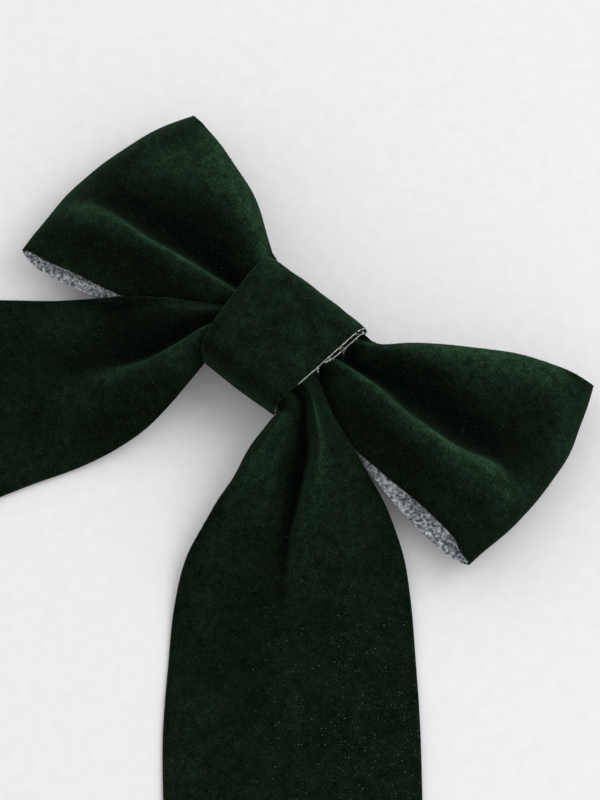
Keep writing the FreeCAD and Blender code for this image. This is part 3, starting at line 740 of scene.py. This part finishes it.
def hem_grid(grid):
    """The turned-in hem of the strip, which shows under its right edge on the upper half of the knot."""
    across = slopes(grid, True)[1]
    rows = []
    for i in edge_rows(grid, *HEM_Y):
        reach = np.linspace(-HEM_UNDER, hem_reach(grid[i, -1, 1]), HEM_LINES)
        rows.append([grid[i, -1] + across[i, -1] * t for t in reach])
    return np.array(rows)


def fray_lines(grid):
    """The two raw edges, on the wrap's velvet and on the hem under it: (point, along, across, out) each."""
    along, across, out = (ways[:, -1] for ways in slopes(grid, True))
    edge = grid[:, -1]
    upper = []
    for i in edge_rows(grid, *FRAY_Y):
        start = edge[i] - out[i] * FRAY_DEPTH + across[i] * FRAY_START
        upper.append((start, along[i], across[i], out[i]))
    lower = []
    for i in edge_rows(grid, *HEM_Y):
        start = edge[i] - out[i] * HEM_DEPTHS[0] + across[i] * (hem_reach(edge[i, 1]) + FRAY_START)
        lower.append((start, along[i], across[i], out[i]))
    return upper, lower


def frayed_edge(name, lines, material):
    """Loose white fibres along the raw edges of the wrap: most lie along the edge, a few stand off."""
    rng = random.Random(31)
    verts, faces = [], []
    for point, along, across, out in lines[0] + lines[1]:
        for _ in range(FRAY_PER_ROW):
            loose = rng.random() < LOOSE_SHARE
            spread = rng.uniform(*(LOOSE_SPREAD if loose else CLOSE_SPREAD))
            way = across * spread + along * rng.choice((-1, 1)) + out * rng.uniform(-0.1, 0.15)
            start = point + out * rng.uniform(-0.08, 0.08) + across * rng.uniform(-0.06, 0.08)
            length = rng.uniform(*FRAY_LENGTH)
            bend = Vector([rng.uniform(-FRAY_BEND, FRAY_BEND) for _ in range(3)])
            path = [Vector(start) + Vector(way) * length * t + bend * t * t for t in (0, 0.33, 0.66, 1)]
            v, f = tube([p * MM for p in path], FRAY_RADIUS * MM)
            faces += [tuple(k + len(verts) for k in face) for face in f]
            verts += v
    piece = mesh_piece(name, [tuple(v) for v in verts], faces, material)
    smooth(piece.data)
    return piece


# ---------------------------------------------------------------- materials

# The places of a colour Mix node's sockets, which share their names with its other kinds of socket.
MIX_INPUTS = (0, 6, 7)
MIX_RESULT = 2


def new_material(name, colour, roughness, metallic=0.0, specular=0.5):
    """A material with a Principled shader; returns it, its node tree and the shader."""
    material = bpy.data.materials.new(name)
    material.use_nodes = True
    tree = material.node_tree
    shader = tree.nodes["Principled BSDF"]
    shader.inputs["Base Color"].default_value = (*colour, 1)
    shader.inputs["Roughness"].default_value = roughness
    shader.inputs["Metallic"].default_value = metallic
    shader.inputs["Specular IOR Level"].default_value = specular
    return material, tree, shader


def node(tree, kind, **values):
    """A new node, with the named inputs or properties set."""
    n = tree.nodes.new(kind)
    for key, value in values.items():
        if key in n.inputs:
            n.inputs[key].default_value = value
        else:
            setattr(n, key, value)
    return n


def feed(tree, value, socket):
    """Gives a socket its value: a number, a colour or another node's output."""
    if isinstance(value, (int, float)):
        socket.default_value = value
    elif isinstance(value, tuple):
        socket.default_value = (*value, 1)
    else:
        tree.links.new(value, socket)


def attribute(tree, name):
    """A vector stored at the mesh's points."""
    return node(tree, "ShaderNodeAttribute", attribute_name=name).outputs["Vector"]


def object_place(tree):
    """Metres in the object's own frame."""
    return node(tree, "ShaderNodeTexCoord").outputs["Object"]


def noise(tree, place, scale, detail=2.0, roughness=0.5):
    """A noise texture's value."""
    n = node(tree, "ShaderNodeTexNoise", Scale=scale, Detail=detail, Roughness=roughness)
    tree.links.new(place, n.inputs["Vector"])
    return n.outputs["Fac"]


def ramp(tree, value, *stops):
    """A value turned into a colour by (position, colour) stops."""
    r = tree.nodes.new("ShaderNodeValToRGB")
    while len(r.color_ramp.elements) < len(stops):
        r.color_ramp.elements.new(0.5)
    for element, (position, colour) in zip(r.color_ramp.elements, stops):
        element.position = position
        element.color = (*colour, 1)
    tree.links.new(value, r.inputs["Fac"])
    return r.outputs["Color"]


def shade(tree, value, *stops):
    """A value turned into a grey that darkens or brightens a colour, by (position, strength) stops."""
    return ramp(tree, value, *((position, (strength,) * 3) for position, strength in stops))


def mix(tree, share, a, b, blend="MIX"):
    """Two colours mixed."""
    m = node(tree, "ShaderNodeMix", data_type="RGBA", blend_type=blend)
    for value, place in zip((share, a, b), MIX_INPUTS):
        feed(tree, value, m.inputs[place])
    return m.outputs[MIX_RESULT]


def multiply(tree, colour, *shades):
    """A colour multiplied by each of the shades."""
    for other in shades:
        colour = mix(tree, 1.0, colour, other, "MULTIPLY")
    return colour


def maths(tree, kind, a, b):
    """A maths node's value."""
    m = node(tree, "ShaderNodeMath", operation=kind)
    feed(tree, a, m.inputs[0])
    feed(tree, b, m.inputs[1])
    return m.outputs[0]


def bump(tree, shader, height, strength, distance):
    """A bump from a height, on the shader's normal."""
    b = node(tree, "ShaderNodeBump", Strength=strength, Distance=distance)
    tree.links.new(height, b.inputs["Height"])
    tree.links.new(b.outputs["Normal"], shader.inputs["Normal"])


def velvet_material():
    """Dark green velvet: deep pile with clouded tone and fine grain, painted shade in hollows and painted
    highlight on ridges, painted lighter on the side that faces the light, and painted glints.
    """
    material, tree, shader = new_material("velvet", (0.003, 0.009, 0.0045), 0.9, specular=0.04)
    place = object_place(tree)
    painted_light_parts = node(tree, "ShaderNodeSeparateXYZ")
    tree.links.new(attribute(tree, "painted_light"), painted_light_parts.inputs[0])
    cloud = noise(tree, place, 75, 3.0, 0.55)
    tuft = noise(tree, place, 420, 3.0, 0.65)
    grain = noise(tree, place, 2400, 3.0, 0.7)
    green = ramp(tree, cloud, (0.30, (0.0026, 0.0074, 0.0035)), (0.52, (0.0038, 0.0107, 0.0049)),
                 (0.72, (0.0054, 0.0144, 0.0068)))
    # The colour carries painted light: hollows painted darker and ridges lighter, and cloth facing one fixed
    # side painted lighter.
    colour = multiply(tree, green,
                      shade(tree, grain, (0.36, 0.35), (0.5, 0.9), (0.64, 1.9)),
                      shade(tree, tuft, (0.34, 0.62), (0.66, 1.45)),
                      shade(tree, painted_light_parts.outputs["X"], (0.15, 0.16), (0.5, 0.62), (0.85, 1.9)),
                      shade(tree, painted_light_parts.outputs["Y"], (0.55, 0.55), (0.95, 1.6)))
    # Pale specks painted as glints of the woven ground.
    colour = mix(tree, sparkle(tree, painted_light_parts.outputs["Z"]), colour, (0.10, 0.15, 0.11))
    tree.links.new(colour, shader.inputs["Base Color"])
    shader.inputs["Sheen Weight"].default_value = 0.16
    shader.inputs["Sheen Roughness"].default_value = 0.38
    shader.inputs["Sheen Tint"].default_value = (0.15, 0.36, 0.19, 1)
    bump(tree, shader, maths(tree, "ADD", grain, maths(tree, "MULTIPLY", tuft, 0.8)), 0.8, 0.0003)
    return material


def sparkle(tree, share):
    """Pale specks in rows, painted as glints of the woven ground through the pile: more where share is high.
    """
    cells = node(tree, "ShaderNodeTexVoronoi", Scale=1.1, Randomness=0.55)
    tree.links.new(attribute(tree, "cloth"), cells.inputs["Vector"])
    dot = maths(tree, "LESS_THAN", cells.outputs["Distance"], 0.15)
    pick = node(tree, "ShaderNodeSeparateColor")
    tree.links.new(cells.outputs["Color"], pick.inputs["Color"])
    chosen = maths(tree, "LESS_THAN", pick.outputs[0], maths(tree, "MULTIPLY", share, 0.75))
    return maths(tree, "MULTIPLY", maths(tree, "MULTIPLY", dot, chosen), pick.outputs[1])


def backing_material():
    """Grey non-woven backing with a speckle of darker and lighter fibres."""
    material, tree, shader = new_material("backing", (0.33, 0.35, 0.37), 0.9, specular=0.2)
    place = object_place(tree)
    fine = noise(tree, place, 1000, 4.0, 0.72)
    coarse = noise(tree, place, 500, 3.0, 0.6)
    speckle = ramp(tree, fine, (0.40, (0.09, 0.10, 0.12)), (0.48, (0.32, 0.34, 0.37)),
                   (0.62, (0.76, 0.78, 0.80)))
    colour = multiply(tree, speckle, shade(tree, coarse, (0.3, 0.6), (0.7, 1.15)))
    tree.links.new(colour, shader.inputs["Base Color"])
    bump(tree, shader, fine, 0.7, 0.00015)
    return material


def thread_material(name, colour):
    """Twisted sewing thread."""
    material, tree, shader = new_material(name, colour, 0.6, specular=0.3)
    twist = node(tree, "ShaderNodeTexWave", Scale=900.0, Distortion=1.5, bands_direction="DIAGONAL")
    tree.links.new(object_place(tree), twist.inputs["Vector"])
    dark = tuple(c * 0.55 for c in colour)
    tone = ramp(tree, twist.outputs["Fac"], (0.2, dark), (0.8, colour))
    tree.links.new(tone, shader.inputs["Base Color"])
    bump(tree, shader, twist.outputs["Fac"], 0.6, 0.0001)
    return material


def metal_material(name, colour, roughness, streak):
    """Metal with faint streaks from rolling and small marks from handling."""
    material, tree, shader = new_material(name, colour, roughness, metallic=1.0)
    place = object_place(tree)
    stretch = node(tree, "ShaderNodeMapping", Scale=streak)
    tree.links.new(place, stretch.inputs["Vector"])
    lines = noise(tree, stretch.outputs["Vector"], 1.0, 4.0, 0.6)
    spots = noise(tree, place, 320.0, 3.0, 0.6)
    rough = shade(tree, lines, (0.3, roughness * 0.75), (0.7, min(1.0, roughness * 1.35)))
    tree.links.new(rough, shader.inputs["Roughness"])
    dull = tuple(c * 0.78 for c in colour)
    tree.links.new(ramp(tree, spots, (0.35, dull), (0.6, colour)), shader.inputs["Base Color"])
    bump(tree, shader, lines, 0.25, 0.00003)
    return material


def fray_material():
    """Loose white fibres."""
    material, tree, shader = new_material("fray", (0.72, 0.73, 0.70), 0.8, specular=0.2)
    tone = noise(tree, object_place(tree), 900.0)
    colour = ramp(tree, tone, (0.3, (0.60, 0.62, 0.60)), (0.7, (0.90, 0.91, 0.88)))
    tree.links.new(colour, shader.inputs["Base Color"])
    return material


def tips_material():
    """Fibre tips of the pile, paler than the pile itself because the light comes through them."""
    material, tree, shader = new_material("pile_tips", (0.03, 0.06, 0.035), 0.8, specular=0.1)
    tone = noise(tree, object_place(tree), 600.0)
    colour = ramp(tree, tone, (0.3, (0.008, 0.022, 0.011)), (0.55, (0.032, 0.06, 0.037)),
                  (0.7, (0.09, 0.12, 0.09)))
    tree.links.new(colour, shader.inputs["Base Color"])
    return material


def floor_material():
    """Matt pale paper."""
    material, tree, shader = new_material("paper", (0.80, 0.80, 0.81), 0.9, specular=0.1)
    grain = noise(tree, object_place(tree), 260.0, 3.0)
    colour = ramp(tree, grain, (0.3, (0.79, 0.79, 0.80)), (0.7, (0.82, 0.82, 0.83)))
    tree.links.new(colour, shader.inputs["Base Color"])
    bump(tree, shader, grain, 0.1, 0.0001)
    return material


CLOTH_LOOKS = {"velvet": velvet_material(), "interfacing": backing_material()}
FRAY = fray_material()
TIPS = tips_material()
PLATED = metal_material("nickel", (0.62, 0.60, 0.56), 0.28, (60, 900, 900))
SPRING = metal_material("spring", (0.42, 0.43, 0.45), 0.34, (40, 1200, 1200))
BRASS = metal_material("brass", (0.66, 0.48, 0.20), 0.30, (500, 500, 500))
THREAD = thread_material("thread", (0.012, 0.030, 0.016))
CAD_LOOKS = {
    "barrette_base": PLATED, "hinge_pin": PLATED, "clasp_arm": PLATED, "tension_leaf": SPRING,
    "catch_plate": PLATED, "catch_prong_front": PLATED, "catch_prong_back": PLATED, "catch_rivet": BRASS,
    "gathering_thread": THREAD, "loop_seam_stitches": THREAD, "tail_tack_stitches": THREAD,
    "wrap_closing_stitches": THREAD,
}


# ---------------------------------------------------------------- build

def build_loops():
    """The ring of ribbon that makes both loops; returns its velvet."""
    grid = loop_grid()
    pile("loops_pile", grid, seed=41, closed=True)
    face = dress("loops_velvet", grid, "loop_velvet", "velvet",
                 closed=True)
    dress("loops_backing", grid, "loop_interfacing", "interfacing",
          closed=True)
    return face


def build_tail(side, tail, loop_face, glints):
    """One tail, laid over the loops. On the right one glints of the woven ground are painted as pale specks.
    """
    grid = settle(tail_grid(tail), loop_face, CLOTH + SETTLE_GAP, SETTLE_WAY)
    turn = tail["turn"]
    glint = tail_glint(tail, grid) if glints else None
    pile(side + "_tail_pile", grid, seed=42, way=turn)
    # Painted shade: the tails' velvet is painted a little darker overall.
    dress(side + "_tail_face", grid, side + "_tail_velvet", "velvet",
          way=turn, glint=glint, pale=-0.03)
    dress(side + "_tail_back", grid, side + "_tail_interfacing", "interfacing",
          way=turn)


def build_knot():
    """The strip round the knot, its turned-in hem and its frayed edge."""
    grid = wrap_grid()
    pile("knot_pile", grid, seed=44, closed=True)
    # Painted light: the knot's velvet is painted a little lighter overall.
    dress("knot_face", grid, "knot_wrap_velvet", "velvet",
          closed=True, pale=0.05)
    dress("knot_back", grid, "knot_wrap_interfacing", "interfacing",
          closed=True)
    hem = layer("knot_hem", hem_grid(grid), HEM_DEPTHS, CLOTH_LOOKS["velvet"])
    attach(hem, "bow")
    edge_fibres = frayed_edge("knot_fray", fray_lines(grid), FRAY)
    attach(edge_fibres, "bow")


def dress_cad(looks):
    """Gives each CAD node that stays in view its material."""
    for name, material in looks.items():
        shown = bpy.data.objects[name]
        if not shown.material_slots:
            shown.data.materials.append(material)
        for holder in shown.material_slots:
            holder.material = material


# ---------------------------------------------------------------- floor, light and camera

# In metres and degrees. Azimuth is measured from the bow's front, -Y, towards its right.
FLOOR_HALF = 3.0
FLOOR_GAP = 0.05 * MM
CAMERA_AZIMUTH = 39
CAMERA_ELEVATION = 68
CAMERA_DISTANCE = 1.2
CAMERA_AIM = (0.01372, -0.00787, 0.00404)
CAMERA_LENS = 192.86
KEY_PLACE = (0.75, 0.85, 1.5)
KEY_SIZE = 1.2
KEY_POWER = 13.0
SKY_STRENGTH = 0.82


def floor():
    """A wide flat pale floor, just under the bow."""
    size, z = FLOOR_HALF, FLOOR_Z * MM - FLOOR_GAP
    verts = [(-size, -size, z), (size, -size, z), (size, size, z), (-size, size, z)]
    mesh_piece("floor", verts, [(0, 1, 2, 3)], floor_material())


def key_light():
    """A square soft light, high behind the bow on its right, turned to it."""
    data = bpy.data.lights.new("key", "AREA")
    data.size = KEY_SIZE
    data.energy = KEY_POWER
    lamp = bpy.data.objects.new("key", data)
    lamp.location = KEY_PLACE
    lamp.rotation_euler = (-Vector(KEY_PLACE)).to_track_quat("-Z", "Y").to_euler()
    bpy.context.scene.collection.objects.link(lamp)


def camera():
    """A long lens above and in front of the bow, on its right."""
    azimuth, elevation = math.radians(CAMERA_AZIMUTH), math.radians(CAMERA_ELEVATION)
    back = Vector((math.sin(azimuth) * math.cos(elevation), -math.cos(azimuth) * math.cos(elevation),
                   math.sin(elevation)))
    right = Vector((math.cos(azimuth), math.sin(azimuth), 0))
    up = back.cross(right)
    data = bpy.data.cameras.new("camera")
    data.lens = CAMERA_LENS
    data.sensor_width = 36
    data.clip_start = 0.01
    eye = bpy.data.objects.new("camera", data)
    place = Vector(CAMERA_AIM) + back * CAMERA_DISTANCE
    eye.matrix_world = Matrix.Translation(place) @ Matrix((right, up, back)).transposed().to_4x4()
    bpy.context.scene.collection.objects.link(eye)
    bpy.context.scene.camera = eye


def world():
    """An even pale surround."""
    surround = bpy.data.worlds.new("surround")
    surround.use_nodes = True
    sky = surround.node_tree.nodes["Background"]
    sky.inputs["Color"].default_value = (1.0, 1.0, 1.0, 1)
    sky.inputs["Strength"].default_value = SKY_STRENGTH
    bpy.context.scene.world = surround


loop_face = build_loops()
build_tail("left", LEFT_TAIL, loop_face, glints=False)
build_tail("right", RIGHT_TAIL, loop_face, glints=True)
build_knot()
dress_cad(CAD_LOOKS)

floor()
world()
key_light()
camera()
bpy.context.scene.view_settings.view_transform = "Standard"
